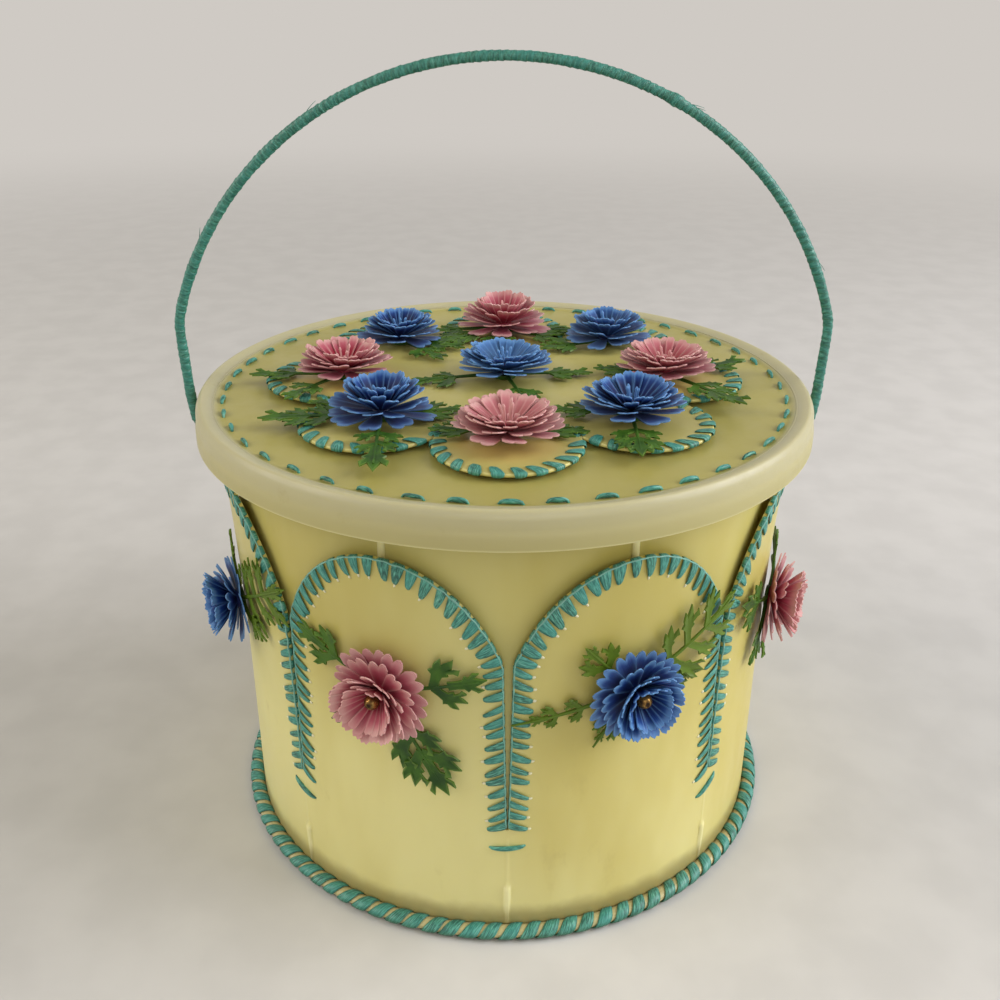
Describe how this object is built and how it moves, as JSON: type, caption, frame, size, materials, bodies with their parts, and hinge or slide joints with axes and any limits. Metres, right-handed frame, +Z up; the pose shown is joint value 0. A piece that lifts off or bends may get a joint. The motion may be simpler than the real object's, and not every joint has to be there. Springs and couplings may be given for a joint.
{
  "type": "lidded craft bucket",
  "caption": "Round lidded bucket with an arched petal outer wall, raffia-stitched edges, moulded flowers on wall and lid, and a raffia-wrapped bail.",
  "frame": {"origin": "on the surface it stands on, under the middle of the bucket", "axes": "+Z up, -Y towards the front slot between two petals, X along the line through the bail's ears"},
  "size_m": [0.2448, 0.2278, 0.2856],
  "materials": {
    "pail_polyethylene": "waxy moulded polyethylene, pale yellow",
    "lid_polyethylene": "waxy moulded polyethylene, milky cream",
    "raffia": "flat synthetic raffia ribbon, teal",
    "leaf_plastic": "moulded polyethylene, leaf green",
    "pink_petal_plastic": "moulded polyethylene, pink with pale tips",
    "blue_petal_plastic": "moulded polyethylene, blue with pale tips",
    "bead_brass": "small polished bead",
    "bail_steel": "plain drawn wire"
  },
  "bodies": {
    "pail": {"base_disc": "pail_polyethylene", "base_edge_raffia": "raffia", "petal_sleeve": "pail_polyethylene", "inner_pail": "pail_polyethylene", "petal_raffia_1": "raffia", "petal_raffia_2": "raffia", "petal_raffia_3": "raffia", "petal_raffia_4": "raffia", "petal_raffia_5": "raffia", "petal_raffia_6": "raffia", "petal_raffia_7": "raffia", "petal_raffia_8": "raffia", "side_1_blue_leaves": "leaf_plastic", "side_1_blue_bloom": "blue_petal_plastic", "side_1_blue_bead": "bead_brass", "side_2_pink_leaves": "leaf_plastic", "side_2_pink_bloom": "pink_petal_plastic", "side_2_pink_bead": "bead_brass", "side_3_blue_leaves": "leaf_plastic", "side_3_blue_bloom": "blue_petal_plastic", "side_3_blue_bead": "bead_brass", "side_4_pink_leaves": "leaf_plastic", "side_4_pink_bloom": "pink_petal_plastic", "side_4_pink_bead": "bead_brass", "side_5_blue_leaves": "leaf_plastic", "side_5_blue_bloom": "blue_petal_plastic", "side_5_blue_bead": "bead_brass", "side_6_pink_leaves": "leaf_plastic", "side_6_pink_bloom": "pink_petal_plastic", "side_6_pink_bead": "bead_brass", "side_7_blue_leaves": "leaf_plastic", "side_7_blue_bloom": "blue_petal_plastic", "side_7_blue_bead": "bead_brass", "side_8_pink_leaves": "leaf_plastic", "side_8_pink_bloom": "pink_petal_plastic", "side_8_pink_bead": "bead_brass"},
    "lid": {"lid": "lid_polyethylene", "lid_ring_stitches": "raffia", "lid_scallop_panel": "lid_polyethylene", "lid_scallop_raffia": "raffia", "lid_centre_blue_leaves": "leaf_plastic", "lid_centre_blue_bloom": "blue_petal_plastic", "lid_front_pink_leaves": "leaf_plastic", "lid_front_pink_bloom": "pink_petal_plastic", "lid_front_right_blue_leaves": "leaf_plastic", "lid_front_right_blue_bloom": "blue_petal_plastic", "lid_right_pink_leaves": "leaf_plastic", "lid_right_pink_bloom": "pink_petal_plastic", "lid_back_right_blue_leaves": "leaf_plastic", "lid_back_right_blue_bloom": "blue_petal_plastic", "lid_back_pink_leaves": "leaf_plastic", "lid_back_pink_bloom": "pink_petal_plastic", "lid_back_left_blue_leaves": "leaf_plastic", "lid_back_left_blue_bloom": "blue_petal_plastic", "lid_left_pink_leaves": "leaf_plastic", "lid_left_pink_bloom": "pink_petal_plastic", "lid_front_left_blue_leaves": "leaf_plastic", "lid_front_left_blue_bloom": "blue_petal_plastic"},
    "bail": {"bail_wire": "bail_steel", "bail_raffia_wrap": "raffia"}
  },
  "joints": [
    {"name": "lid_lift", "type": "slide", "parent": "pail", "child": "lid", "axis": [0, 0, 1], "range_m": [0, 0.022]},
    {"name": "bail_swing", "type": "hinge", "parent": "pail", "child": "bail", "pos_m": [0, 0, 0.145], "axis": [1, 0, 0], "range_deg": [-110, 110]}
  ]
}
